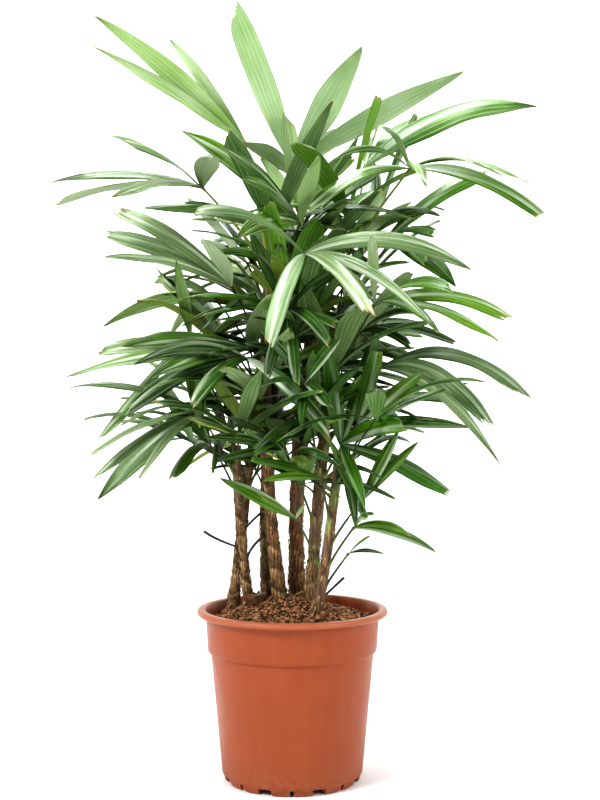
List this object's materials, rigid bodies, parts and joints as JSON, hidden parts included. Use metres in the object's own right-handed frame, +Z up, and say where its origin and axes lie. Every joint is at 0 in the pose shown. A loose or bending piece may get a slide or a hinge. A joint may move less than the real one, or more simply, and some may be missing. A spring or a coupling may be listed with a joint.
{
  "type": "lady palm in a pot",
  "caption": "Clump of slim fibrous palm canes with fans of pleated leaflets on thin stalks, standing in the soil of a tapered terracotta-coloured plastic nursery pot.",
  "frame": {"origin": "middle of the pot's underside, on the surface that the pot stands on", "axes": "+Z up along the pot's axis; the plant's fuller front faces -Y; +X to the right as seen from the front"},
  "size_m": [0.605, 0.5099, 0.99],
  "materials": {
    "pot": "satin terracotta-coloured plastic",
    "soil": null,
    "cane": "brown fibrous leaf sheaths",
    "frond": null
  },
  "bodies": {
    "root": {"cane_left": "cane", "cane_outer": "cane", "cane_rear": "cane", "cane_right": "cane", "cane_slim": "cane", "cane_stout": "cane", "cane_tall": "cane", "frond_01": "frond", "frond_02": "frond", "frond_03": "frond", "frond_04": "frond", "frond_05": "frond", "frond_06": "frond", "frond_07": "frond", "frond_08": "frond", "frond_09": "frond", "frond_10": "frond", "frond_11": "frond", "frond_12": "frond", "frond_13": "frond", "frond_14": "frond", "frond_15": "frond", "frond_16": "frond", "frond_17": "frond", "frond_18": "frond", "frond_19": "frond", "frond_20": "frond", "frond_21": "frond", "frond_22": "frond", "frond_23": "frond", "frond_24": "frond", "frond_25": "frond", "frond_26": "frond", "frond_27": "frond", "frond_28": "frond", "frond_29": "frond", "frond_30": "frond", "frond_31": "frond", "frond_32": "frond", "frond_33": "frond", "frond_34": "frond", "frond_35": "frond", "frond_36": "frond", "frond_37": "frond", "frond_38": "frond", "frond_39": "frond", "frond_40": "frond", "frond_41": "frond", "frond_42": "frond", "frond_43": "frond", "frond_44": "frond", "pot": "pot", "soil": "soil"}
  },
  "joints": []
}
